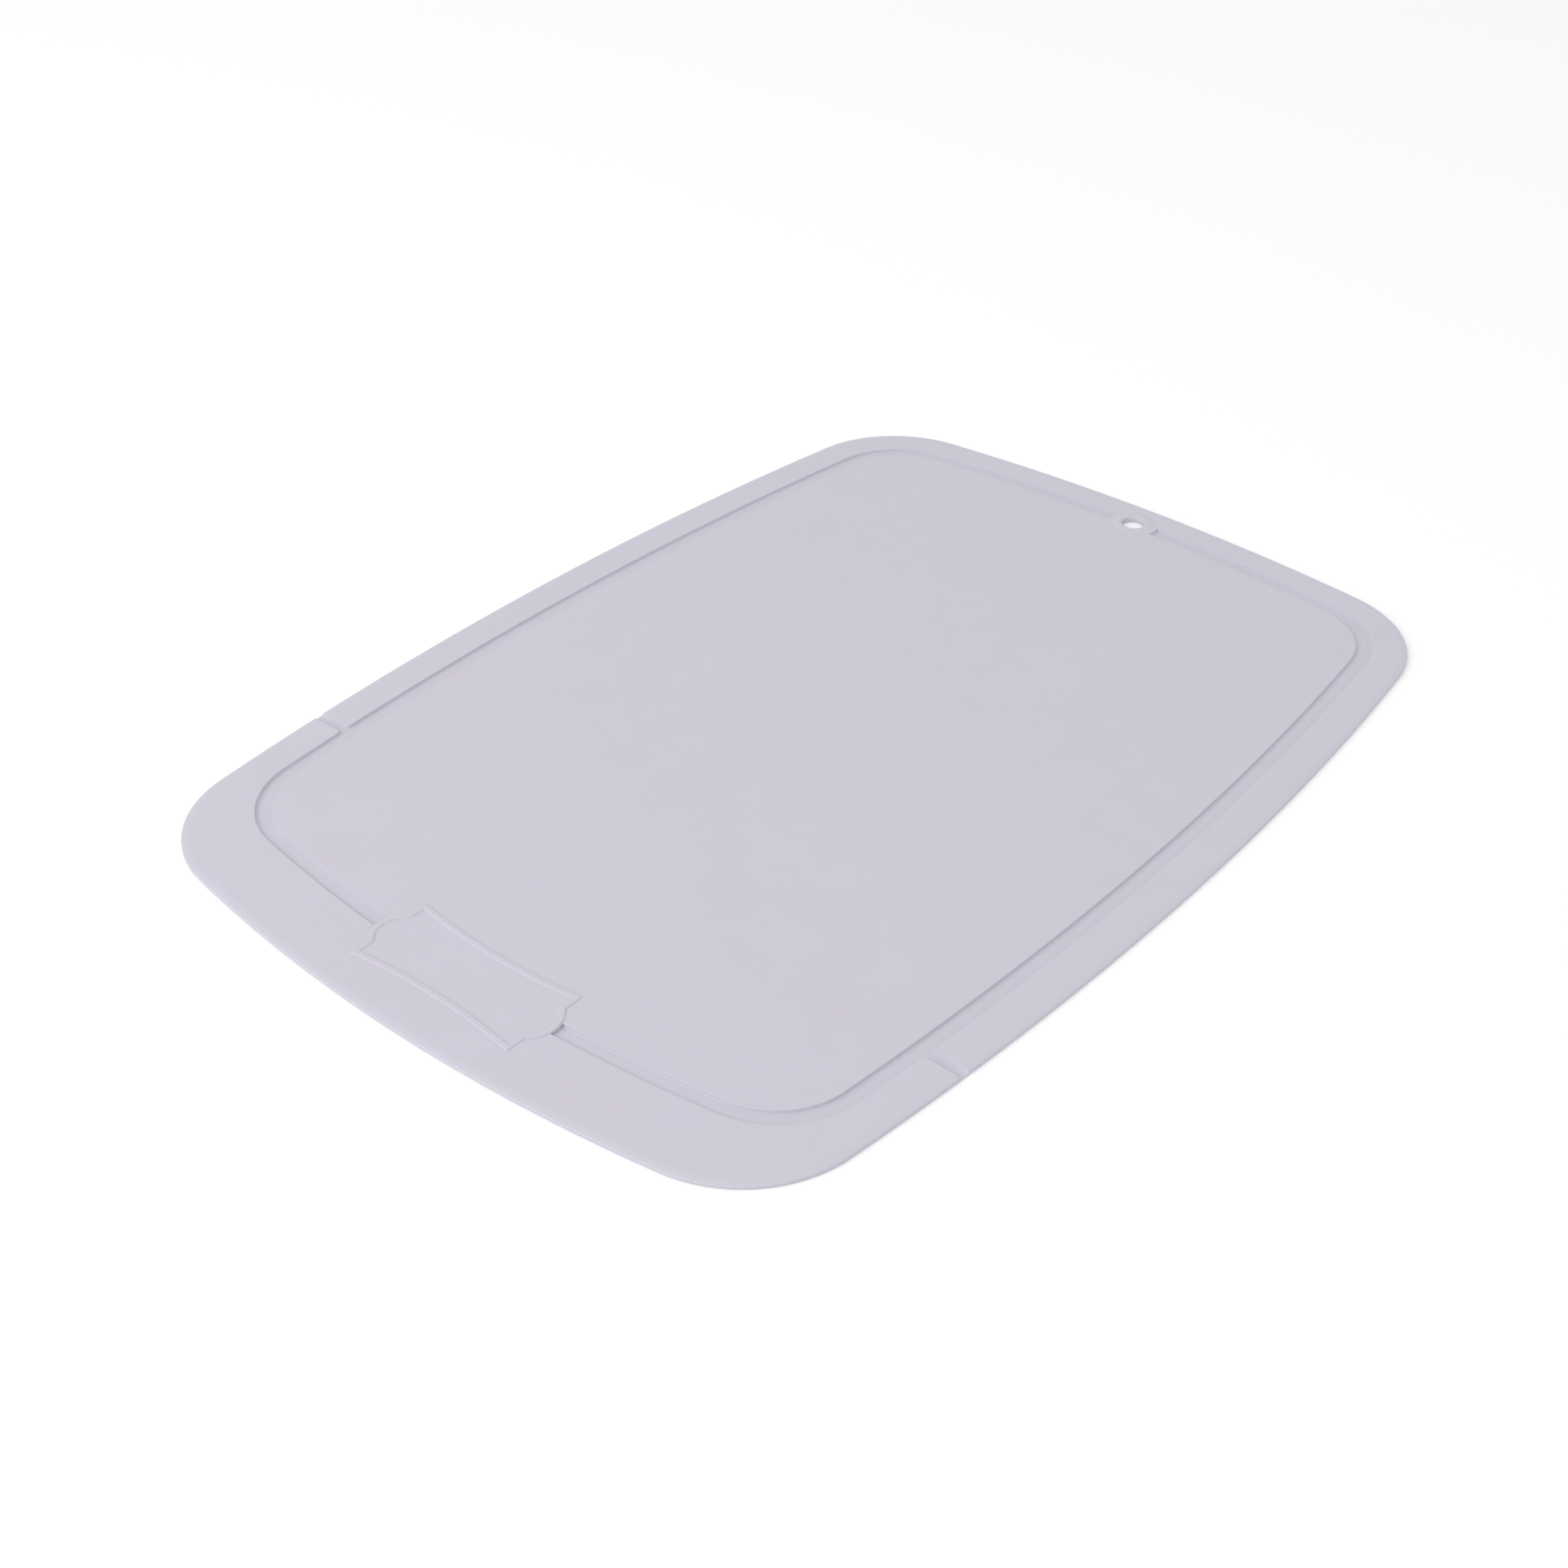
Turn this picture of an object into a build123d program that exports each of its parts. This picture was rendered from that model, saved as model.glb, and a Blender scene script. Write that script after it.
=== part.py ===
"""Plastic cutting board with a juice groove, a bordered label plate and a lipped hanging eyelet.

Millimetres. X is the width, Y the length with the eyelet at +Y, Z up. The origin is the centre of the underside.
"""

import os

from build123d import *

# The sheet. All four sides are shallow arcs, and the corners are round.
board_length = 360
board_width = 250
board_thickness = 1.6
side_bow_radius = 1180
eyelet_end_bow_radius = 655
label_end_bow_radius = 505
corner_radius = 38.3

# The outer edge: a soft shoulder falls away from the top, and the underside has a small round.
shoulder_width = 1.9
shoulder_drop = 0.35
shoulder_top_radius = 6
shoulder_rim_radius = 0.3
underside_radius = 0.3

# The juice groove, by its outer edge. The rim is narrow at the sides and the eyelet end, wide at the label end.
groove_width = 4.8
groove_depth = 1.0
side_rim = 11.8
eyelet_end_rim = 10.1
label_end_rim = 23.4
groove_side_bow_radius = 1250
groove_eyelet_end_bow_radius = 590
groove_label_end_bow_radius = 505
groove_corner_radius = 29
groove_floor_radius = 0.4

# The pour channels, one through the rim on each long side.
channel_y = -98.9
channel_width = 2.9
channel_mouth_radius = 1.2

# The label plate: scalloped outline, with a flat-topped raised bead all round.
plate_y = -153.9
plate_thickness = 0.8
plate_half_length = 29.55
plate_half_height = 13.85
plate_waist = 11.55
plate_tip = 33.05
plate_bulge = 7.3
plate_corner_radius = 0.6
plate_neck_radius = 1.0
bead_width = 2.1
bead_height = 0.35
bead_round = 0.25

# The hanging eyelet: a flange with a raised lip on a short barrel.
eyelet_y = 167.6
bore_radius = 3.75
bore_chamfer = 0.2
barrel_radius = 5.4
flange_radius = 7.8
flange_depth = 0.6
lip_radius = 5.1
lip_height = 0.5
island_radius = 8.7

top = board_thickness
eyelet_spot = (0, eyelet_y)


def bowed_face(half_width, far_y, near_y, side_bow, far_bow, near_bow, radius):
    """A rounded rectangle with bowed sides: what four large discs share, with its corners rounded."""
    with BuildSketch() as face:
        with Locations((half_width - side_bow, 0)):
            Circle(side_bow)
        with Locations((side_bow - half_width, 0)):
            Circle(side_bow, mode=Mode.INTERSECT)
        with Locations((0, far_y - far_bow)):
            Circle(far_bow, mode=Mode.INTERSECT)
        with Locations((0, near_y + near_bow)):
            Circle(near_bow, mode=Mode.INTERSECT)
        fillet(face.vertices(), radius)
    return face.sketch


def plate_face():
    """The label plate's outline: hollow long edges, short straight ledges and a round bulge at each end."""
    with BuildSketch() as face:
        with BuildLine():
            long_edge = ThreePointArc(
                (-plate_half_length, plate_half_height), (0, plate_waist), (plate_half_length, plate_half_height)
            )
            ledge = Line(long_edge @ 1, (plate_half_length, plate_bulge))
            bulge = ThreePointArc(ledge @ 1, (plate_tip, 0), (plate_half_length, -plate_bulge))
            Line(bulge @ 1, (plate_half_length, -plate_half_height))
            mirror(about=Plane.YZ)
            mirror(long_edge, about=Plane.XZ)
        make_face()
        corners = face.vertices().group_by(Axis.Y)
        fillet(corners[0] + corners[-1], plate_corner_radius)
        necks = face.vertices().filter_by(lambda v: abs(abs(v.Y) - plate_bulge) < 0.01)
        fillet(necks, plate_neck_radius)
    return face.sketch


def groove_face(inset):
    """The groove's outer edge, drawn in by the inset. The arcs keep their centres, so the groove has one width."""
    return bowed_face(
        board_width / 2 - side_rim - inset,
        board_length / 2 - eyelet_end_rim - inset,
        label_end_rim - board_length / 2 + inset,
        groove_side_bow_radius - inset,
        groove_eyelet_end_bow_radius - inset,
        groove_label_end_bow_radius - inset,
        groove_corner_radius - inset,
    )


outline = bowed_face(
    board_width / 2,
    board_length / 2,
    -board_length / 2,
    side_bow_radius,
    eyelet_end_bow_radius,
    label_end_bow_radius,
    corner_radius,
)
plate_outline = Pos(0, plate_y) * plate_face()

# Everything sunk into the top: the groove, and a channel that leads from it through the rim on each side.
# The groove stops at the label plate and at the island round the eyelet.
with BuildSketch(Plane.XY.offset(top - groove_depth)) as sunk_outline:
    add(groove_face(0))
    with Locations((0, channel_y)):
        Rectangle(board_width + 10, channel_width)
    mouths = sunk_outline.vertices().filter_by(
        lambda corner: abs(corner.X) < board_width / 2 and abs(corner.Y - channel_y) < channel_width
    )
    fillet(mouths, channel_mouth_radius)
    add(groove_face(groove_width), mode=Mode.SUBTRACT)
    add(plate_outline, mode=Mode.SUBTRACT)
    with Locations(eyelet_spot):
        Circle(island_radius, mode=Mode.SUBTRACT)

with BuildPart() as sunk:
    add(sunk_outline.sketch)
    extrude(amount=2 * groove_depth)
    fillet(sunk.faces().filter_by(Axis.Z).group_by(Axis.Z)[0].edges(), groove_floor_radius)

# ---- board: the moulded sheet ----
with BuildPart() as board:
    add(outline)
    extrude(amount=board_thickness)

    # The soft shoulder is a long shallow bevel with both of its edges rounded off.
    chamfer(board.faces().sort_by(Axis.Z)[-1].edges(), shoulder_drop, shoulder_width)
    fillet(board.faces().sort_by(Axis.Z)[-1].edges(), shoulder_top_radius)
    bevel_foot = board.edges().filter_by(lambda edge: abs(edge.center().Z - top + shoulder_drop) < 0.01)
    fillet(bevel_foot, shoulder_rim_radius)
    fillet(board.faces().sort_by(Axis.Z)[0].edges(), underside_radius)

    # The groove and the channels share one floor level, so the juice runs out at the sides.
    add(sunk.part, mode=Mode.SUBTRACT)

    # The pocket for the label plate, and the stepped hole for the eyelet.
    with BuildSketch(Plane.XY.offset(top)):
        add(plate_outline)
    extrude(amount=-plate_thickness, mode=Mode.SUBTRACT)
    with Locations((0, eyelet_y, top)):
        CounterBoreHole(barrel_radius, flange_radius, flange_depth)

# ---- label_plate: the scalloped plate with its bead ----
with BuildPart() as label_plate:
    with BuildSketch(Plane.XY.offset(top - plate_thickness)):
        add(plate_outline)
    extrude(amount=plate_thickness)
    with BuildSketch(Plane.XY.offset(top)):
        add(plate_outline)
        offset(plate_outline, -bead_width, mode=Mode.SUBTRACT)
    extrude(amount=bead_height)
    fillet(label_plate.faces().sort_by(Axis.Z)[-1].edges(), bead_round)

# ---- hanging_eyelet: flange, raised lip and barrel in one turning ----
mouth_round = lip_radius - bore_radius
with BuildPart() as hanging_eyelet:
    with BuildSketch(Plane.XZ.offset(-eyelet_y)):
        with BuildLine():
            body = Polyline(
                (bore_radius, top + lip_height - mouth_round),
                (bore_radius, bore_chamfer),
                (bore_radius + bore_chamfer, 0),
                (barrel_radius, 0),
                (barrel_radius, top - flange_depth),
                (flange_radius, top - flange_depth),
                (flange_radius, top),
            )
            mouth = TangentArc(body @ 0, (lip_radius, top + lip_height), tangent=(0, 1))
            TangentArc(mouth @ 1, body @ 1, tangent=mouth % 1)
        make_face()
    revolve(axis=Axis((0, eyelet_y, 0), (0, 0, 1)))

pieces = {"board": board, "label_plate": label_plate, "hanging_eyelet": hanging_eyelet}

os.makedirs("parts", exist_ok=True)
for piece_name, piece in pieces.items():
    piece.part.label = piece_name
    export_step(piece.part, f"parts/{piece_name}.step")
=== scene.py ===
"""A thin moulded cutting board with a juice groove, pour channels, a label plate and a hanging eyelet.

The sheet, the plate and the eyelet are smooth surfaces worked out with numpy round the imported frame.
"""

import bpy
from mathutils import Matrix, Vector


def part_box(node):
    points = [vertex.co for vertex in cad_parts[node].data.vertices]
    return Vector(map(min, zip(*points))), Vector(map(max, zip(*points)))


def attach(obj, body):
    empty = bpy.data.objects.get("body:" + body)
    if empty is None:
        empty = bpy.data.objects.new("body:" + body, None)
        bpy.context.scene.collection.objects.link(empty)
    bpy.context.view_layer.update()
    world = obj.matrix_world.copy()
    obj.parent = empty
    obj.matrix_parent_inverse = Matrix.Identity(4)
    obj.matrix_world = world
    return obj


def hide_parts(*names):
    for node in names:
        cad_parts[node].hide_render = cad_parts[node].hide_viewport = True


bl_info = {
    "name": "Cutting Board",
    "version": (1, 0, 0),
    "blender": (4, 5, 0),
    "location": "3D View > Sidebar > Cutting Board",
    "description": "Builds a moulded cutting board, its label plate, its hanging eyelet and a plain studio",
    "category": "Add Mesh",
}

import bpy
import numpy as np
from bpy.props import FloatProperty, FloatVectorProperty, PointerProperty
from mathutils import Matrix, Vector

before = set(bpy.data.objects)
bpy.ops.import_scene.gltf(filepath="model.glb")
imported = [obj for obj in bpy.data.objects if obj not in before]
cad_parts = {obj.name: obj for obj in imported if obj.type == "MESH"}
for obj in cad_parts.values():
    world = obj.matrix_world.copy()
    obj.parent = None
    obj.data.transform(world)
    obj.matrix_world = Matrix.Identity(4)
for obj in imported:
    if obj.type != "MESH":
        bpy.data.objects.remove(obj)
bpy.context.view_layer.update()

MM = 0.001
BOARD_LOW, BOARD_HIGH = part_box("board")
PLATE_LOW, PLATE_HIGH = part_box("label_plate")
EYELET_LOW, EYELET_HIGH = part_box("hanging_eyelet")
TOP = BOARD_HIGH.z
EYELET_Y = (EYELET_LOW.y + EYELET_HIGH.y) / 2
PLATE_Y = (PLATE_LOW.y + PLATE_HIGH.y) / 2

# The gap under the plate and under the board, and the step at the foot of the eyelet's slope.
REST_GAP = 0.02 * MM
SLOPE_STEP = 0.04 * MM


# ---- What a user may change ----


def length(name, description, default):
    """A size in metres, shown in the scene's own unit."""
    return FloatProperty(
        name=name, description=description, default=default, subtype="DISTANCE", unit="LENGTH", precision=5
    )


def colour(name, description, default):
    """A linear colour."""
    return FloatVectorProperty(
        name=name, description=description, default=default, subtype="COLOR", size=3, min=0, max=1
    )


class BoardSizes(bpy.types.PropertyGroup):
    """The moulded sheet: its outline, its edge, the groove and the channels."""

    side_bow: length("Side bow radius", "Radius of the two long sides", 1180 * MM)
    far_bow: length("Eyelet end bow radius", "Radius of the end with the eyelet", 655 * MM)
    near_bow: length("Label end bow radius", "Radius of the end with the label plate", 505 * MM)
    corner: length("Corner radius", "Radius of the four corners", 38.3 * MM)
    shoulder_width: length("Shoulder width", "How far in the soft shoulder of the edge reaches", 1.9 * MM)
    shoulder_drop: length("Shoulder drop", "How far the shoulder falls away from the top", 0.35 * MM)
    side_rim: length("Side rim", "From the long side to the groove", 11.8 * MM)
    far_rim: length("Eyelet end rim", "From the eyelet end to the groove", 10.1 * MM)
    near_rim: length("Label end rim", "From the label end to the groove", 23.4 * MM)
    groove_side_bow: length("Groove side bow radius", "Radius of the groove's long sides", 1250 * MM)
    groove_far_bow: length("Groove eyelet end bow radius", "Radius of the groove's eyelet end", 590 * MM)
    groove_near_bow: length("Groove label end bow radius", "Radius of the groove's label end", 505 * MM)
    groove_corner: length("Groove corner radius", "Outer radius of the groove's corners", 29 * MM)
    groove_width: length("Groove width", "From lip to lip", 4.8 * MM)
    groove_depth: length("Groove depth", "From the top to the groove's floor", 1.0 * MM)
    groove_lip: length("Groove lip radius", "Rounding of the groove's upper edges", 0.2 * MM)
    groove_fillet: length("Groove floor radius", "Rounding of the groove's lower corners", 0.45 * MM)
    channel_y: length("Channel place", "Where the pour channels cross the rim, along the board", -98.9 * MM)
    channel_width: length("Channel width", "From lip to lip", 2.9 * MM)
    channel_mouth: length("Channel mouth radius", "Rounding where a channel leaves the groove", 1.2 * MM)
    island: length("Island radius", "The level ground round the eyelet, where the groove stops", 8.7 * MM)


class PlateSizes(bpy.types.PropertyGroup):
    """The label plate: its scalloped outline and its bead."""

    half_length: length("Half length", "From the middle to the straight ledges", 29.55 * MM)
    half_height: length("Half height", "From the middle to the corners", 13.85 * MM)
    waist: length("Waist", "From the middle to the long edges, at their middle", 11.55 * MM)
    tip: length("Tip", "From the middle to the tips of the end bulges", 33.05 * MM)
    bulge: length("Bulge half height", "Half the height of an end bulge, at its ledges", 7.3 * MM)
    corner: length("Corner radius", "Rounding of the four corners", 0.6 * MM)
    neck: length("Neck radius", "Rounding between a bulge and its ledges", 1.0 * MM)
    bead_width: length("Bead width", "Width of the raised bead", 2.1 * MM)
    bead_side: length("Bead side", "How much the bead narrows towards its top, on each side", 0.3 * MM)


class EyeletSizes(bpy.types.PropertyGroup):
    """The hanging eyelet: its bore, its lip and its flange."""

    bore: length("Bore radius", "Radius of the hanging hole", 3.75 * MM)
    lip: length("Lip radius", "Radius of the lip's crest", 5.2 * MM)
    barrel: length("Barrel radius", "Outside of the barrel that goes through the sheet", 5.4 * MM)
    flange: length("Flange radius", "Outside of the flange, where the lip's slope runs out", 7.8 * MM)
    flange_depth: length("Flange depth", "Thickness of the flange at its edge", 0.6 * MM)


class Finish(bpy.types.PropertyGroup):
    """The plastic: its colour and its fine grain."""

    plastic: colour("Plastic", "Colour of the moulded plastic", (0.54, 0.525, 0.597))
    grain: length("Grain size", "Size of the fine grain left by the mould", 0.35 * MM)
    roughness: FloatProperty(name="Roughness", description="Mean roughness of the satin plastic", default=0.5)


class Studio(bpy.types.PropertyGroup):
    """The camera, the lights and the floor."""

    look_at: FloatVectorProperty(
        name="Look at",
        description="The point at the middle of the view",
        default=(6.776 * MM, -31.816 * MM, 0),
        subtype="TRANSLATION",
        unit="LENGTH",
    )
    distance: length("Camera distance", "From the camera to the point it looks at", 662.83 * MM)
    azimuth: FloatProperty(name="Azimuth", description="Camera's degrees round the board", default=38.94)
    elevation: FloatProperty(name="Elevation", description="Camera's degrees above the floor", default=35.637)
    roll: FloatProperty(name="Roll", description="Camera roll, in degrees", default=1.359)
    lens: FloatProperty(name="Lens", description="Focal length in millimetres, 36 mm sensor", default=51.88)
    floor: colour("Floor", "Colour of the floor", (0.96, 0.96, 0.96))
    floor_size: length("Floor size", "Side of the square floor", 8.0)
    sky: FloatProperty(name="Sky", description="Strength of the even light from all round", default=0.92)
    key: FloatProperty(name="Key light", description="Power of the large soft light, in watts", default=9.5)
    key_size: length("Key light size", "Across the round soft light", 1.2)
    key_place: FloatVectorProperty(
        name="Key light place",
        description="Where the soft light hangs, aimed at the origin",
        default=(-0.4, -1.3, 0.88),
        subtype="TRANSLATION",
        unit="LENGTH",
    )


# ---- Outlines and profiles ----


def rounded(corners, radii, steps=5):
    """An open profile through the corners, with a tangent arc in place of each inner corner.

    The arc's centre is on the corner's bisector, at the radius over the sine of half the angle. Its points
    turn evenly from one tangent point to the other.
    """
    corners = np.asarray(corners, float)
    runs = [corners[:1]]
    for before, corner, after, radius in zip(corners, corners[1:], corners[2:], radii):
        back = (before - corner) / np.linalg.norm(before - corner)
        ahead = (after - corner) / np.linalg.norm(after - corner)
        half = np.arccos(np.clip(back @ ahead, -1, 1)) / 2
        centre = corner + (back + ahead) / np.linalg.norm(back + ahead) * radius / np.sin(half)
        start = corner + back * radius / np.tan(half) - centre
        end = corner + ahead * radius / np.tan(half) - centre
        sweep = np.pi - 2 * half
        share = np.linspace(0, 1, steps)[:, None]
        turned = np.sin((1 - share) * sweep) * start + np.sin(share * sweep) * end
        runs.append(centre + turned / np.sin(sweep))
    runs.append(corners[-1:])
    return np.concatenate(runs)


def stretched(low, core, high, spare):
    """Places from low to high that hold the core's own places, with a few spare steps at each end."""
    before = np.linspace(low, core[0], spare, endpoint=False)
    after = np.linspace(high, core[-1], spare, endpoint=False)[::-1]
    return np.concatenate([before, core, after])


def corner_centre(half_width, far, side_bow, end_bow, radius):
    """The centre of a corner's arc, which touches the side's disc and the end's disc from inside.

    It is as far from each disc's centre as that disc's radius less its own: a crossing of two circles.
    """
    side = np.array([half_width - side_bow, 0.0])
    end = np.array([0.0, far - np.sign(far) * end_bow])
    to_side, to_end = side_bow - radius, end_bow - radius
    apart = np.linalg.norm(end - side)
    along = (to_side**2 - to_end**2 + apart**2) / (2 * apart)
    across = np.sqrt(to_side**2 - along**2)
    way = (end - side) / apart
    aside = across * np.array([-way[1], way[0]])
    return side + along * way + aside * np.sign(aside @ (1, np.sign(far)))


def bowed_loop(half_width, far, near, side_bow, far_bow, near_bow, radius, lines):
    """The closed outline of a bowed rectangle, anticlockwise from the label end of the right side.

    Every point is the centre of its arc plus the arc's radius times the outward normal. Points on the long
    sides are set by their y, points on the ends by their x, and points on the corners are evenly spaced.
    Returns the points and the normals.
    """
    far_corner = corner_centre(half_width, far, side_bow, far_bow, radius)
    near_corner = corner_centre(half_width, near, side_bow, near_bow, radius)
    side_centre = np.array([half_width - side_bow, 0.0])
    far_centre = np.array([0.0, far - far_bow])
    near_centre = np.array([0.0, near + near_bow])

    def touch(centre, bow, corner):
        return centre + (corner - centre) * bow / np.linalg.norm(corner - centre)

    y = stretched(
        touch(side_centre, side_bow, near_corner)[1],
        lines["side"],
        touch(side_centre, side_bow, far_corner)[1],
        lines["side_spare"],
    )
    side = np.stack([np.sqrt(side_bow**2 - y**2), y], 1) / side_bow
    x_far = touch(far_centre, far_bow, far_corner)[0]
    x = stretched(-x_far, lines["far"], x_far, lines["end_spare"])[::-1]
    far_end = np.stack([x, np.sqrt(far_bow**2 - x**2)], 1) / far_bow
    x_near = touch(near_centre, near_bow, near_corner)[0]
    x = stretched(-x_near, lines["near"], x_near, lines["end_spare"])
    near_end = np.stack([x, -np.sqrt(near_bow**2 - x**2)], 1) / near_bow

    def corner(first, last):
        turn = np.linspace(np.arctan2(*first[::-1]), np.arctan2(*last[::-1]), lines["corner"] + 2)[1:-1]
        return np.stack([np.cos(turn), np.sin(turn)], 1)

    flip = np.array([-1.0, 1.0])
    right_far = corner(side[-1], far_end[0])
    right_near = corner(near_end[-1], side[0])
    pieces = [
        (side_centre, side_bow, side),
        (far_corner, radius, right_far),
        (far_centre, far_bow, far_end),
        (far_corner * flip, radius, right_far[::-1] * flip),
        (side_centre * flip, side_bow, side[::-1] * flip),
        (near_corner * flip, radius, right_near[::-1] * flip),
        (near_centre, near_bow, near_end),
        (near_corner, radius, right_near),
    ]
    points = np.concatenate([centre + bow * normal for centre, bow, normal in pieces])
    return points, np.concatenate([normal for _, _, normal in pieces])


def plate_loop(sizes, inset):
    """The label plate's closed outline, drawn in by the inset, anticlockwise about the plate's middle.

    A hollow arc, a corner arc, a straight ledge, a neck arc and half a bulge make a quarter, mirrored twice.
    Drawing in widens the hollow and neck arcs and narrows the corner and bulge arcs, with all centres kept.
    """
    hollow_sag = sizes.half_height - sizes.waist
    hollow = (sizes.half_length**2 + hollow_sag**2) / (2 * hollow_sag)
    hollow_y = sizes.waist + hollow
    bulge_sag = sizes.tip - sizes.half_length
    bulge = (sizes.bulge**2 + bulge_sag**2) / (2 * bulge_sag)
    bulge_x = sizes.tip - bulge
    corner = max(sizes.corner - inset, 0.15 * MM)
    ledge = sizes.half_length - inset
    reach = hollow + inset
    corner_x = ledge - corner
    corner_y = hollow_y - np.sqrt((reach + corner) ** 2 - corner_x**2)
    neck = sizes.neck + inset
    neck_x = ledge + neck
    neck_y = np.sqrt((bulge - inset + neck) ** 2 - (neck_x - bulge_x) ** 2)

    def arc(x, y, radius, first, last, steps):
        turn = np.linspace(first, last, steps)
        return np.stack([x + radius * np.cos(turn), y + radius * np.sin(turn)], 1)

    to_neck = np.arctan2(neck_y, neck_x - bulge_x)
    to_corner = np.arctan2(hollow_y - corner_y, -corner_x)
    quarter = np.concatenate(
        [
            arc(bulge_x, 0, bulge - inset, 0, to_neck, 15),
            arc(neck_x, neck_y, neck, to_neck + np.pi, np.pi, 7)[1:],
            np.stack([np.full(6, ledge), np.linspace(neck_y, corner_y, 6)], 1)[1:],
            arc(corner_x, corner_y, corner, 0, to_corner, 7)[1:],
            arc(0, hollow_y, reach, to_corner - np.pi, -np.pi / 2, 40)[1:],
        ]
    )
    left = quarter[-2::-1] * (-1, 1)
    upper = np.concatenate([quarter, left])
    lower = upper[-2:0:-1] * (1, -1)
    return np.concatenate([upper, lower])


# ---- Meshes ----

# Edges that turn by more than this many degrees are shaded as sharp.
SHARP_ANGLE = 50


def grid_faces(rows, columns):
    """Quads of a grid whose columns close on themselves. Rows go outwards and columns go anticlockwise."""
    row, column = np.mgrid[0 : rows - 1, 0:columns]
    beside = (column + 1) % columns
    inner = row * columns
    outer = inner + columns
    return np.stack([inner + column, outer + column, outer + beside, inner + beside], -1).reshape(-1, 4)


def fan(ring, pole, outward):
    """Triangles from a closed ring of vertices to its pole."""
    beside = np.roll(ring, -1)
    middle = np.full(len(ring), pole)
    return np.stack([middle, ring, beside] if outward else [middle, beside, ring], 1)


def make_piece(name, vertices, quads, triangles=None):
    """A smooth object at the origin, from whole arrays of vertices, quads and triangles.

    Vertices that no face uses are dropped.
    """
    triangles = np.zeros((0, 3), int) if triangles is None else triangles
    loops = np.concatenate([quads.ravel(), triangles.ravel()])
    used, loops = np.unique(loops, return_inverse=True)
    sizes = np.concatenate([np.full(len(quads), 4), np.full(len(triangles), 3)])
    mesh = bpy.data.meshes.new(name)
    mesh.vertices.add(len(used))
    mesh.vertices.foreach_set("co", vertices[used].astype(np.float32).ravel())
    mesh.loops.add(len(loops))
    mesh.loops.foreach_set("vertex_index", loops.astype(np.int32).ravel())
    mesh.polygons.add(len(sizes))
    mesh.polygons.foreach_set("loop_start", (np.cumsum(sizes) - sizes).astype(np.int32))
    mesh.polygons.foreach_set("use_smooth", np.ones(len(sizes), bool))
    mesh.update(calc_edges=True)
    if mesh.validate():
        raise RuntimeError(f"{name}: the mesh has faces that aren't valid")
    mesh.set_sharp_from_angle(angle=np.radians(SHARP_ANGLE))
    piece = bpy.data.objects.new(name, mesh)
    bpy.context.scene.collection.objects.link(piece)
    return piece


def with_height(points, height):
    """Plan points lifted to one height, or to one height each."""
    return np.concatenate([points, np.broadcast_to(height, points.shape[:-1])[..., None]], -1)


# ---- The plastic ----


# The faint patches of the mottle, as multiples of the plastic's colour.
WARM_PATCH = (1.008, 0.984, 0.992)
COOL_PATCH = (0.988, 1.008, 1.008)

# Noise scales in cells per metre, the part of the noise's range that is used, and the change in roughness.
MOTTLE_SCALE = 45
GLOSS_SCALE = 160
WAVE_SCALE = 30
NOISE_LOW = 0.3
NOISE_HIGH = 0.7
GLOSS_CHANGE = 0.05

# How strongly and how high the mould's fine grain and the sheet's slow waves stand.
GRAIN_STRENGTH = 0.25
GRAIN_HEIGHT = 0.02 * MM
WAVE_STRENGTH = 0.15
WAVE_HEIGHT = 0.2 * MM


def plastic(name, finish):
    """Satin moulded plastic, with the mould's grain from fine noise and a faint mottle from wide noise."""
    material = bpy.data.materials.new(name)
    material.use_nodes = True
    nodes = material.node_tree.nodes
    links = material.node_tree.links
    shader = nodes["Principled BSDF"]
    place = nodes.new("ShaderNodeTexCoord")

    def noise(scale, detail, rough=0.5):
        node = nodes.new("ShaderNodeTexNoise")
        node.inputs["Scale"].default_value = scale
        node.inputs["Detail"].default_value = detail
        node.inputs["Roughness"].default_value = rough
        links.new(place.outputs["Object"], node.inputs["Vector"])
        return node.outputs["Fac"]

    def spread(value, low, high):
        node = nodes.new("ShaderNodeMapRange")
        node.inputs["From Min"].default_value = NOISE_LOW
        node.inputs["From Max"].default_value = NOISE_HIGH
        node.inputs["To Min"].default_value = low
        node.inputs["To Max"].default_value = high
        links.new(value, node.inputs["Value"])
        return node.outputs["Result"]

    mottle = nodes.new("ShaderNodeMix")
    mottle.data_type = "RGBA"
    mottle.inputs["A"].default_value = (*(c * f for c, f in zip(finish.plastic, WARM_PATCH)), 1)
    mottle.inputs["B"].default_value = (*(c * f for c, f in zip(finish.plastic, COOL_PATCH)), 1)
    links.new(spread(noise(MOTTLE_SCALE, 4, 0.6), 0, 1), mottle.inputs["Factor"])
    links.new(mottle.outputs["Result"], shader.inputs["Base Color"])
    gloss = spread(noise(GLOSS_SCALE, 3), finish.roughness - GLOSS_CHANGE, finish.roughness + GLOSS_CHANGE)
    links.new(gloss, shader.inputs["Roughness"])

    grain = nodes.new("ShaderNodeBump")
    grain.inputs["Strength"].default_value = GRAIN_STRENGTH
    grain.inputs["Distance"].default_value = GRAIN_HEIGHT
    links.new(noise(1 / finish.grain, 2), grain.inputs["Height"])
    wave = nodes.new("ShaderNodeBump")
    wave.inputs["Strength"].default_value = WAVE_STRENGTH
    wave.inputs["Distance"].default_value = WAVE_HEIGHT
    links.new(noise(WAVE_SCALE, 2), wave.inputs["Height"])
    links.new(grain.outputs["Normal"], wave.inputs["Normal"])
    links.new(wave.outputs["Normal"], shader.inputs["Normal"])
    shader.inputs["IOR"].default_value = 1.49
    shader.inputs["Specular IOR Level"].default_value = 0.4
    return material


# ---- The pieces ----


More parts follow.
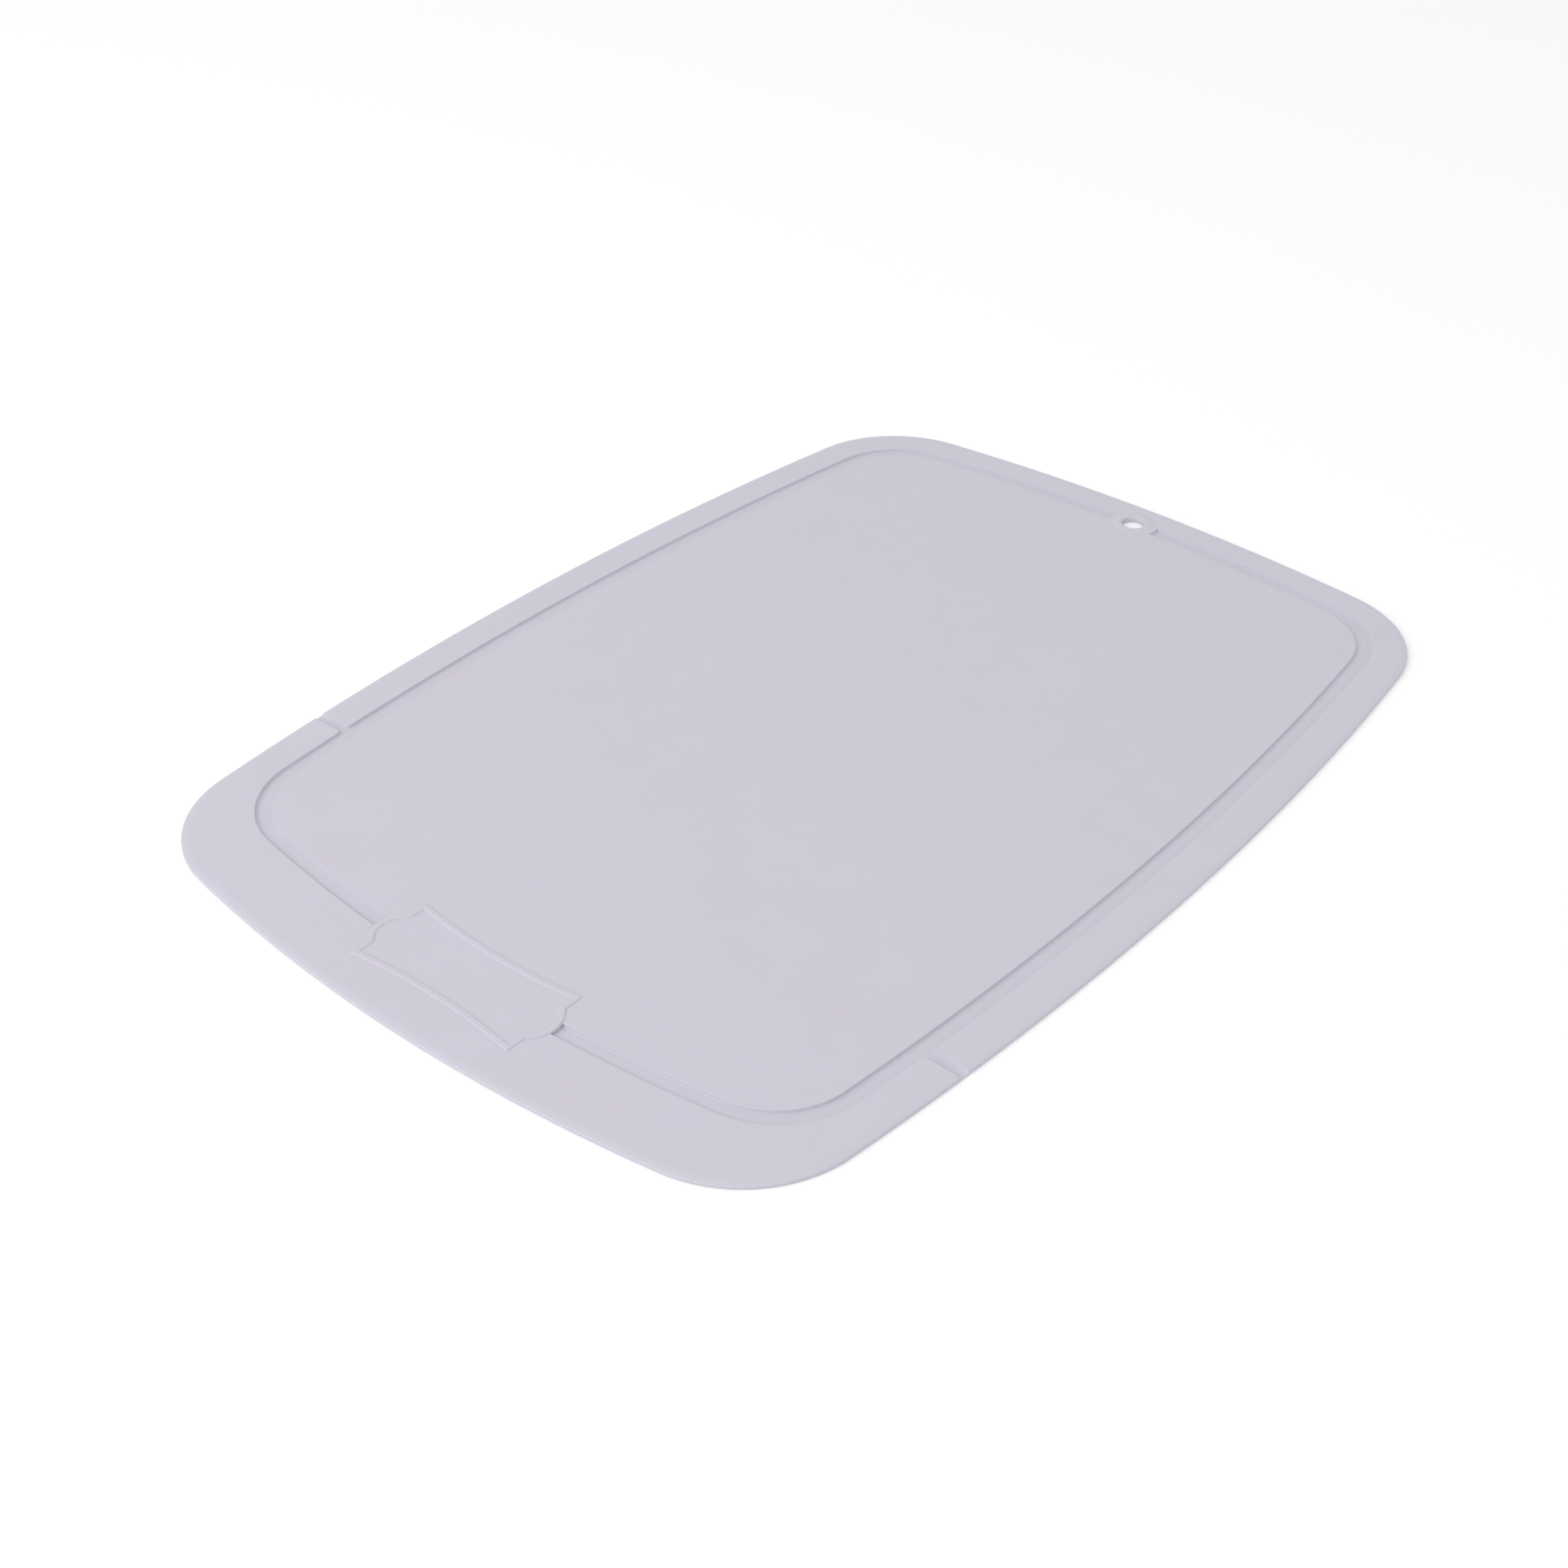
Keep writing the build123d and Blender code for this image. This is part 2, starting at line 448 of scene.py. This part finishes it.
class BUILD_OT_board_sheet(bpy.types.Operator):
    """Makes the moulded sheet with its groove, its pour channels, its plate pocket and its eyelet hole"""

    bl_idname = "cutting_board.board_sheet"
    bl_label = "Board sheet"

    # Loops inside the field, as shares of the way out from its middle, and loops across the other stretches.
    FIELD_SHARES = (0.12, 0.3, 0.5, 0.7, 0.87)
    FIELD_LINES = 28
    FIELD_STEP = 0.5 * MM
    RIM_LINES = 20
    MOUTH_LINES = 6

    # Depths that stand for ground well inside the field, and for ground well out on the rim.
    WELL_INSIDE = 1.0
    WELL_OUTSIDE = -1.0

    # Where the close grid lines start and end: on the long sides, at the eyelet and at the label plate.
    SIDE_START = -115 * MM
    SIDE_END = 118 * MM
    EYELET_SPAN = 14 * MM
    PLATE_SPAN = 37 * MM

    # Rings round the eyelet's axis: the one at the hole's edge, the first on the island's level ground, how
    # many lie on that ground, the last evenly spaced one, and how many then pass back to the grid lines.
    HOLE_RING = 6
    FLAT_RING = 9
    ISLAND_RINGS = 6
    EVEN_RING = 12
    BLEND_RINGS = 12
    RING_STEP = 0.3 * MM

    # How far the band of kept grid lines reaches past the groove's outer and inner edge, and how far the
    # circles may reach towards the board's end.
    BAND_AHEAD = 0.45 * MM
    BAND_BEHIND = 0.5 * MM
    EDGE_MARGIN = 0.05 * MM
    FLANGE_MARGIN = 0.1 * MM
    LAST_CIRCLE_TALL = 8.6 * MM
    OUTER_RING_TALL = 12 * MM

    # The plate's pocket starts this far inside the outline and goes down over this width.
    POCKET_MARGIN = 1.1 * MM
    POCKET_RAMP = 0.6 * MM
    FLOOR_RISE = 0.3 * MM

    # The walls' slope in degrees, and the radii round the board's edge from the top down.
    WALL_SLOPE = 76
    EDGE_RADII = (6 * MM, 0.3 * MM, 0.3 * MM)

    def execute(self, context):
        sizes = context.scene.board_sizes
        eyelet = context.scene.eyelet_sizes
        wall = self.wall(sizes)
        lines = self.lines(sizes, wall)
        outline = (
            BOARD_HIGH.x,
            BOARD_HIGH.y,
            BOARD_LOW.y,
            sizes.side_bow,
            sizes.far_bow,
            sizes.near_bow,
            sizes.corner,
        )
        edge, edge_normal = bowed_loop(*outline, lines)
        groove_far = outline[1] - sizes.far_rim
        groove, groove_normal = bowed_loop(
            outline[0] - sizes.side_rim,
            groove_far,
            outline[2] + sizes.near_rim,
            sizes.groove_side_bow,
            sizes.groove_far_bow,
            sizes.groove_near_bow,
            sizes.groove_corner,
            lines,
        )
        # Stations from the field out to the channels' mouths, by their depth inside the groove's outer edge.
        field_end = sizes.groove_width + wall[0, 0]
        field = field_end + self.FIELD_STEP * np.arange(self.FIELD_LINES, 0, -1)
        inner_wall = sizes.groove_width + wall[:, 0]
        floor = self.floor_stations(sizes)
        outer_wall = -wall[::-1, 0]
        mouth = -wall[0, 0] - np.arange(1, self.MOUTH_LINES + 1) * sizes.channel_mouth / self.MOUTH_LINES
        depth = np.concatenate([field, inner_wall, floor, outer_wall, mouth])
        inner = groove - depth[:, None, None] * groove_normal
        shoulder = self.shoulder(sizes)
        share = np.linspace(0, 1, self.RIM_LINES + 2)[1:, None, None]
        start = edge - shoulder[0, 0] * edge_normal
        rim = inner[-1] + share * (start - inner[-1])
        middle = np.array(self.FIELD_SHARES)[:, None, None] * inner[0]
        plan = np.concatenate([middle, inner, rim])
        inside = np.full(len(middle), self.WELL_INSIDE)
        depth = np.concatenate([inside, depth, np.full(len(rim), self.WELL_OUTSIDE)])
        depth = np.repeat(depth[:, None], plan.shape[1], 1)

        rings, rows, columns = self.round_eyelet(plan, depth, sizes, eyelet, wall, lines, len(middle))
        plate = context.scene.plate_sizes
        height = self.heights(plan, depth, rings, rows, columns, sizes, plate, eyelet, wall)
        side_plan = edge - shoulder[1:, 0, None, None] * edge_normal
        side_height = self.sunk(TOP + shoulder[1:, 1, None], side_plan, sizes, wall)

        vertices = np.concatenate([with_height(plan, height), with_height(side_plan, side_height)])
        vertices = np.concatenate([vertices, with_height(plan[::-1], 0.0)])
        count, width = vertices.shape[:2]
        quads = grid_faces(count, width)
        quads, wall_quads = self.open_hole(quads, count, width, rows, columns)
        poles = np.array([[0, 0, TOP], [0, 0, 0]], float)
        flat = np.concatenate([vertices.reshape(-1, 3), poles])
        first = np.arange(width)
        last = (count - 1) * width + first
        triangles = np.concatenate([fan(first, count * width, True), fan(last, count * width + 1, False)])
        piece = make_piece("board_sheet", flat, np.concatenate([quads, wall_quads]), triangles)
        piece.data.materials.append(plastic("board plastic", context.scene.finish))
        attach(piece, "root")
        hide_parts("board")
        return {"FINISHED"}

    def wall(self, sizes):
        """The section of a groove or channel wall, lip first: distance outside the edge, and height."""
        slope = np.radians(self.WALL_SLOPE)
        lean = sizes.groove_depth / np.tan(slope)
        low = -sizes.groove_depth
        corners = [(2 * MM, 0), (lean / 3, 0), (-lean * 2 / 3, low), (-3 * MM, low)]
        return rounded(corners, [sizes.groove_lip, sizes.groove_fillet])[1:-1]

    def shoulder(self, sizes):
        """The section of the board's outer edge, from top to underside: inset, and height from the top."""
        corners = [
            (6 * MM, 0),
            (sizes.shoulder_width, 0),
            (0, -sizes.shoulder_drop),
            (0, -TOP),
            (6 * MM, -TOP),
        ]
        return rounded(corners, self.EDGE_RADII, 6)[1:]

    def floor_stations(self, sizes):
        """Stations across the groove's floor, from the inner wall out. One runs through the eyelet's axis."""
        through = BOARD_HIGH.y - sizes.far_rim - EYELET_Y
        return np.array([through + 0.5 * MM, through, through - 0.8 * MM, through - 1.5 * MM])

    def lines(self, sizes, wall):
        """The lines that cross every loop: close together at the channels, the eyelet and the label plate."""
        steps = np.arange(self.MOUTH_LINES - 1, 0, -1) * sizes.channel_mouth / self.MOUTH_LINES
        lips = np.concatenate([[sizes.channel_mouth + wall[0, 0]], wall[0, 0] + steps])
        half = np.concatenate([lips, wall[:, 0]]) + sizes.channel_width / 2
        channel = sizes.channel_y + np.unique(np.concatenate([-half, half, [0]]))
        below = np.linspace(self.SIDE_START, channel[0], 5, endpoint=False)
        above = np.linspace(self.SIDE_END, channel[-1], 40, endpoint=False)[::-1]
        return {
            "side": np.concatenate([below, channel, above]),
            "side_spare": 5,
            "far": np.linspace(-self.EYELET_SPAN, self.EYELET_SPAN, 77),
            "near": np.linspace(-self.PLATE_SPAN, self.PLATE_SPAN, 75),
            "end_spare": 12,
            "corner": 20,
        }

    def round_eyelet(self, plan, depth, sizes, eyelet, wall, lines, skipped):
        """Bends the square rings of grid lines round the eyelet's axis into circles, in place.

        A vertex of ring k goes to the circle of radius r(k). Beside the eyelet it keeps its place across the
        groove, so the groove's walls stay on their grid lines. The outer rings pass back to the grid.
        Returns each vertex's ring number, and the block's rows and columns.
        """
        middle_row = skipped + self.FIELD_LINES + len(wall) + 1
        reach = len(plan) - 1 - middle_row
        first_far = len(lines["side"]) + 2 * lines["side_spare"] + lines["corner"]
        middle_column = first_far + lines["end_spare"] + len(lines["far"]) // 2
        rows = np.arange(middle_row - reach, middle_row + reach + 1)
        columns = np.arange(middle_column - reach, middle_column + reach + 1)
        block = plan[np.ix_(rows, columns)] - (0, EYELET_Y)
        down, across = np.mgrid[-reach : reach + 1, -reach : reach + 1]
        rings = np.maximum(abs(down), abs(across))
        island_edge = sizes.island - wall[0, 0] - self.EDGE_MARGIN
        level_ground = np.linspace(eyelet.flange + REST_GAP, island_edge, self.ISLAND_RINGS)
        radii = np.concatenate(
            [
                np.linspace(0, eyelet.barrel + self.EDGE_MARGIN, self.HOLE_RING + 1),
                [eyelet.flange - REST_GAP, eyelet.flange],
                level_ground,
                sizes.island - wall[:, 0],
            ]
        )
        last_circle = len(radii) - 1
        outer = radii[-1] + np.arange(1, reach - last_circle + 1) * self.RING_STEP
        radii = np.concatenate([radii, outer])
        radius = radii[rings]
        diagonal = radius * np.sqrt(0.5)
        beside = abs(across) >= abs(down)

        outward = np.where(down >= 0, 1, -1)
        onward = np.where(across >= 0, 1, -1)
        corner_x, corner_y = np.moveaxis(abs(block[reach + outward * rings, reach + onward * rings]), -1, 0)
        ahead = BOARD_HIGH.y - sizes.far_rim - EYELET_Y
        band = np.where(down > 0, ahead + self.BAND_AHEAD, sizes.groove_width - ahead + self.BAND_BEHIND)
        y = abs(block[..., 1])
        far_out = corner_y > band * 1.02
        spread = (diagonal - band) / np.maximum(corner_y - band, 1e-9)
        kept = np.minimum(y, band) + np.maximum(y - band, 0) * spread
        scaled = y * diagonal / np.maximum(corner_y, 1e-9)
        y_side = np.where(far_out, kept, scaled)
        y_side = np.minimum(y_side, diagonal)
        x_end = np.minimum(abs(block[..., 0]) * diagonal / np.maximum(corner_x, 1e-9), diagonal)
        # Near the flange a ring's vertices are evenly spaced. Further out they pass to their grid lines.
        even = np.pi / 4 * np.minimum(abs(down), abs(across)) / np.maximum(rings, 1)
        passed = np.clip((rings - self.EVEN_RING) / self.BLEND_RINGS, 0, 1)
        y_side = radius * np.sin(even) + passed * (y_side - radius * np.sin(even))
        x_end = radius * np.sin(even) + passed * (x_end - radius * np.sin(even))
        x_side = np.sqrt(radius**2 - y_side**2)
        y_end = np.sqrt(radius**2 - x_end**2)
        x_new = -np.where(beside, x_side, x_end) * np.sign(across)
        y_new = np.where(beside, y_side, y_end)
        # Above the band, the outer circles flatten, because the board's edge is close there.
        limits = [eyelet.flange + self.FLANGE_MARGIN, self.LAST_CIRCLE_TALL, self.OUTER_RING_TALL]
        tall = np.interp(rings, [self.FLAT_RING, last_circle, reach], limits)
        flattened = (down > 0) & (rings > self.FLAT_RING)
        squeeze = np.where(flattened, (tall - band) / (radius - band), 1.0)
        y_new = np.where(y_new > band, band + (y_new - band) * np.minimum(squeeze, 1), y_new) * np.sign(down)
        share = np.clip((rings - last_circle) / (reach - last_circle), 0, 1)
        share = (share * share * (3 - 2 * share))[..., None]
        block = (1 - share) * np.stack([x_new, y_new], -1) + share * block
        plan[np.ix_(rows, columns)] = block + (0, EYELET_Y)
        centre_y = BOARD_HIGH.y - sizes.far_rim - sizes.groove_far_bow
        bent = plan[np.ix_(rows, columns)]
        off_centre = np.hypot(bent[..., 0], bent[..., 1] - centre_y)
        depth[np.ix_(rows, columns)] = sizes.groove_far_bow - off_centre
        return rings, rows, columns

    def sunk(self, surface, plan, sizes, wall, depth=None, island=None):
        """Lowers a surface where the groove and the channels are.

        The distance to the sunk area is the smaller of those to groove and channel, with a round mouth.
        The wall's section turns it into the share of the full depth that is left standing.
        """
        channel = abs(plan[..., 1] - sizes.channel_y) - sizes.channel_width / 2
        if depth is None:
            distance = channel
        else:
            groove = np.maximum(-depth, depth - sizes.groove_width)
            mouth = sizes.channel_mouth
            join = np.hypot(np.maximum(mouth - groove, 0), np.maximum(mouth - channel, 0))
            both = np.maximum(mouth, np.minimum(groove, channel)) - join
            distance = np.where(depth < sizes.groove_width / 2, both, groove)
        if island is not None:
            distance = np.maximum(distance, island)
        left = 1 + np.interp(distance, wall[::-1, 0], wall[::-1, 1]) / sizes.groove_depth
        above = surface - (TOP - sizes.groove_depth)
        return TOP - sizes.groove_depth + np.where(above > 0, above * left, above)

    def heights(self, plan, depth, rings, rows, columns, sizes, plate, eyelet, wall):
        """The height of every top vertex: level ground less groove, channels, pocket and eyelet seat."""
        from_eyelet = np.hypot(plan[..., 0], plan[..., 1] - EYELET_Y)
        on_eyelet_half = plan[..., 1] > 0
        island = np.where(on_eyelet_half, sizes.island - from_eyelet, self.WELL_OUTSIDE)
        level = np.full(plan.shape[:-1], TOP)
        height = self.sunk(level, plan, sizes, wall, depth, island)
        x = abs(plan[..., 0])
        y = abs(plan[..., 1] - PLATE_Y)
        hollow_sag = plate.half_height - plate.waist
        hollow = plate.waist + hollow_sag * (x / plate.half_length) ** 2
        bulge = plate.tip - (plate.tip - plate.half_length) * (y / plate.bulge) ** 2
        middle = np.maximum(x - plate.half_length, y - hollow)
        ends = np.maximum(y - plate.bulge, x - bulge)
        inside = -np.minimum(middle, ends)
        pocket = PLATE_LOW.z - REST_GAP
        ramp = np.clip((inside - self.POCKET_MARGIN) / self.POCKET_RAMP, 0, 1)
        height = np.minimum(height, TOP + (pocket - TOP) * ramp)
        # Under the plate, the groove's floor comes up to the pocket.
        rise = np.clip((inside + self.FLOOR_RISE) / self.FLOOR_RISE, 0, 1)
        height = np.maximum(height, (pocket - height.min()) * rise + height.min())
        seat = TOP - eyelet.flange_depth
        block = height[np.ix_(rows, columns)]
        block = np.where(rings <= self.HOLE_RING + 1, seat, block)
        block = np.where(rings == self.HOLE_RING + 2, TOP - SLOPE_STEP, block)
        height[np.ix_(rows, columns)] = block
        return height

    def open_hole(self, quads, count, width, rows, columns):
        """Takes the cells inside the hole's ring out of top and underside, and joins the rims by a wall."""
        middle_row = rows[len(rows) // 2]
        middle_column = columns[len(columns) // 2]
        low, high = -self.HOLE_RING, self.HOLE_RING
        row = quads[:, 0] // width
        column = quads[:, 0] % width
        across = (column >= middle_column + low) & (column < middle_column + high)
        mirrored = count - 1 - middle_row
        on_top = (row >= middle_row + low) & (row < middle_row + high)
        below = (row >= mirrored + low) & (row < mirrored + high)
        kept = quads[~(across & (on_top | below))]
        step = np.arange(low, high)
        side = np.full(2 * high, high)
        around = np.concatenate(
            [
                np.stack([step, -side], 1),
                np.stack([side, step], 1),
                np.stack([-step, side], 1),
                np.stack([-side, -step], 1),
            ]
        )
        top = (middle_row + around[:, 0]) * width + middle_column + around[:, 1]
        under = (mirrored - around[:, 0]) * width + middle_column + around[:, 1]
        wall = np.stack([top, np.roll(top, -1), np.roll(under, -1), under], 1)
        return kept, wall


class BUILD_OT_label_plate(bpy.types.Operator):
    """Makes the label plate, by carrying the section of its bead round its scalloped outline"""

    bl_idname = "cutting_board.label_plate"
    bl_label = "Label plate"

    def execute(self, context):
        sizes = context.scene.plate_sizes
        bead_top = PLATE_HIGH.z
        flat_edge = 4.0 * MM
        corners = [
            (flat_edge, PLATE_LOW.z),
            (0, PLATE_LOW.z),
            (0, TOP),
            (sizes.bead_side, bead_top),
            (sizes.bead_width - sizes.bead_side, bead_top),
            (sizes.bead_width, TOP),
            (flat_edge, TOP),
        ]
        radii = [0.1 * MM, 0.2 * MM, 0.25 * MM, 0.25 * MM, 0.2 * MM]
        section = rounded(corners, radii)
        loops = np.stack([plate_loop(sizes, inset) for inset in section[:, 0]])
        surface = with_height(loops, section[:, 1, None])
        share = np.array([0.75, 0.5, 0.25])[:, None, None]
        drawn_in = np.concatenate([share, share, np.ones_like(share)], -1)
        flat_top = surface[-1] * drawn_in
        flat_bottom = surface[0] * drawn_in
        surface = np.concatenate([flat_top[::-1], surface[::-1], flat_bottom])
        surface = surface + (0, PLATE_Y, 0)
        count, width = surface.shape[:2]
        poles = [(0, PLATE_Y, TOP), (0, PLATE_Y, PLATE_LOW.z)]
        vertices = np.concatenate([surface.reshape(-1, 3), poles])
        first = np.arange(width)
        last = (count - 1) * width + first
        triangles = np.concatenate([fan(first, count * width, True), fan(last, count * width + 1, False)])
        piece = make_piece("label_plate_bead", vertices, grid_faces(count, width), triangles)
        piece.data.materials.append(plastic("label plastic", context.scene.finish))
        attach(piece, "root")
        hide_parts("label_plate")
        return {"FINISHED"}


class BUILD_OT_hanging_eyelet(bpy.types.Operator):
    """Makes the hanging eyelet, by turning its section about the hole's axis"""

    bl_idname = "cutting_board.hanging_eyelet"
    bl_label = "Hanging eyelet"

    # Steps round the ring and points down the lip's slope. Then the section's small sizes: the chamfer at the
    # foot, how far the mouth leans out and how deep it goes, and the radii of the mouth and of the foot.
    STEPS = 128
    SLOPE_POINTS = 12
    FOOT = 0.2 * MM
    MOUTH_LEAN = 0.25 * MM
    MOUTH_DROP = 0.6 * MM
    MOUTH_RADII = (0.75 * MM, 2.0 * MM)
    FOOT_RADII = (0.1 * MM, 0.05 * MM)

    def execute(self, context):
        sizes = context.scene.eyelet_sizes
        crest = EYELET_HIGH.z
        slope = np.linspace(0, 1, self.SLOPE_POINTS)
        outer = np.stack(
            [
                sizes.lip + (sizes.flange - sizes.lip) * slope,
                TOP + (crest - TOP) * (1 + np.cos(np.pi * slope)) / 2,
            ],
            1,
        )
        mouth = rounded(
            [
                (sizes.lip, crest),
                (sizes.bore + self.MOUTH_LEAN, crest),
                (sizes.bore, TOP - self.MOUTH_DROP),
                (sizes.bore, self.FOOT),
            ],
            self.MOUTH_RADII,
            9,
        )[1:]
        foot = rounded(
            [(sizes.bore, self.FOOT), (sizes.bore + self.FOOT, 0), (sizes.barrel, 0), (sizes.barrel, 1 * MM)],
            self.FOOT_RADII,
        )
        seat = TOP - sizes.flange_depth
        rim = sizes.flange - SLOPE_STEP
        flange = [(sizes.barrel, seat), (rim, seat), (rim, TOP - SLOPE_STEP)]
        section = np.concatenate([outer[::-1], mouth, foot[1:-1], flange])
        turn = np.linspace(0, 2 * np.pi, self.STEPS, endpoint=False)
        section = np.concatenate([section, section[:1]])[::-1]
        x = section[:, 0, None] * np.cos(turn)
        y = EYELET_Y + section[:, 0, None] * np.sin(turn)
        surface = np.stack([x, y, np.broadcast_to(section[:, 1, None], x.shape)], -1)
        count = len(section)
        quads = grid_faces(count, self.STEPS)
        last_ring = (count - 1) * self.STEPS
        quads = np.where(quads >= last_ring, quads - last_ring, quads)
        piece = make_piece("eyelet_ring", surface[:-1].reshape(-1, 3), quads)
        piece.data.materials.append(plastic("eyelet plastic", context.scene.finish))
        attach(piece, "root")
        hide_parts("hanging_eyelet")
        return {"FINISHED"}


class BUILD_OT_studio(bpy.types.Operator):
    """Sets a pale floor, an even sky, one large soft light and the camera"""

    bl_idname = "cutting_board.studio"
    bl_label = "Studio"

    def execute(self, context):
        studio = context.scene.studio
        half = studio.floor_size / 2
        mesh = bpy.data.meshes.new("floor")
        corners = [(-half, -half), (half, -half), (half, half), (-half, half)]
        mesh.from_pydata([(x, y, -REST_GAP) for x, y in corners], [], [(0, 1, 2, 3)])
        floor = bpy.data.objects.new("floor", mesh)
        context.scene.collection.objects.link(floor)
        paint = bpy.data.materials.new("floor paint")
        paint.use_nodes = True
        shader = paint.node_tree.nodes["Principled BSDF"]
        shader.inputs["Base Color"].default_value = (*studio.floor, 1)
        shader.inputs["Roughness"].default_value = 0.9
        shader.inputs["Specular IOR Level"].default_value = 0.1
        mesh.materials.append(paint)

        world = bpy.data.worlds.new("studio")
        world.use_nodes = True
        sky = world.node_tree.nodes["Background"]
        sky.inputs["Color"].default_value = (1, 1, 1, 1)
        sky.inputs["Strength"].default_value = studio.sky
        context.scene.world = world

        lamp = bpy.data.lights.new("key", "AREA")
        lamp.energy = studio.key
        lamp.shape = "DISK"
        lamp.size = studio.key_size
        key = bpy.data.objects.new("key", lamp)
        context.scene.collection.objects.link(key)
        key.location = studio.key_place
        key.rotation_euler = key.location.to_track_quat("Z", "Y").to_euler()

        azimuth, elevation, roll = np.radians([studio.azimuth, studio.elevation, studio.roll])
        flat = np.cos(elevation)
        back = Vector((np.sin(azimuth) * flat, -np.cos(azimuth) * flat, np.sin(elevation)))
        level = Vector((np.cos(azimuth), np.sin(azimuth), 0))
        upright = back.cross(level)
        right = np.cos(roll) * level + np.sin(roll) * upright
        up = np.cos(roll) * upright - np.sin(roll) * level
        turn = Matrix((right, up, back)).transposed().to_4x4()
        view = bpy.data.objects.new("camera", bpy.data.cameras.new("camera"))
        view.matrix_world = Matrix.Translation(Vector(studio.look_at) + back * studio.distance) @ turn
        view.data.sensor_width = 36
        view.data.lens = studio.lens
        view.data.clip_start = 0.01
        context.scene.collection.objects.link(view)
        context.scene.camera = view
        context.scene.view_settings.view_transform = "Standard"
        return {"FINISHED"}


OPERATORS = (BUILD_OT_board_sheet, BUILD_OT_label_plate, BUILD_OT_hanging_eyelet, BUILD_OT_studio)
SETTINGS = {
    "board_sizes": BoardSizes,
    "plate_sizes": PlateSizes,
    "eyelet_sizes": EyeletSizes,
    "finish": Finish,
    "studio": Studio,
}


class BUILD_PT_cutting_board(bpy.types.Panel):
    """Lists the pieces, in the order in which they are built"""

    bl_label = "Cutting Board"
    bl_space_type = "VIEW_3D"
    bl_region_type = "UI"
    bl_category = "Cutting Board"

    def draw(self, context):
        for operator in OPERATORS:
            self.layout.operator(operator.bl_idname)
        for name in SETTINGS:
            box = self.layout.box()
            settings = getattr(context.scene, name)
            for key in settings.__annotations__:
                box.prop(settings, key)


def register():
    """Adds the settings, the operators and the panel."""
    for group in SETTINGS.values():
        bpy.utils.register_class(group)
    for name, group in SETTINGS.items():
        setattr(bpy.types.Scene, name, PointerProperty(type=group))
    for operator in OPERATORS:
        bpy.utils.register_class(operator)
    bpy.utils.register_class(BUILD_PT_cutting_board)


def unregister():
    """Takes them all away again."""
    bpy.utils.unregister_class(BUILD_PT_cutting_board)
    for operator in reversed(OPERATORS):
        bpy.utils.unregister_class(operator)
    for name in SETTINGS:
        delattr(bpy.types.Scene, name)
    for group in reversed(SETTINGS.values()):
        bpy.utils.unregister_class(group)


def main():
    """Builds the board and the studio."""
    register()
    bpy.ops.cutting_board.board_sheet()
    bpy.ops.cutting_board.label_plate()
    bpy.ops.cutting_board.hanging_eyelet()
    bpy.ops.cutting_board.studio()


if __name__ == "__main__":
    main()
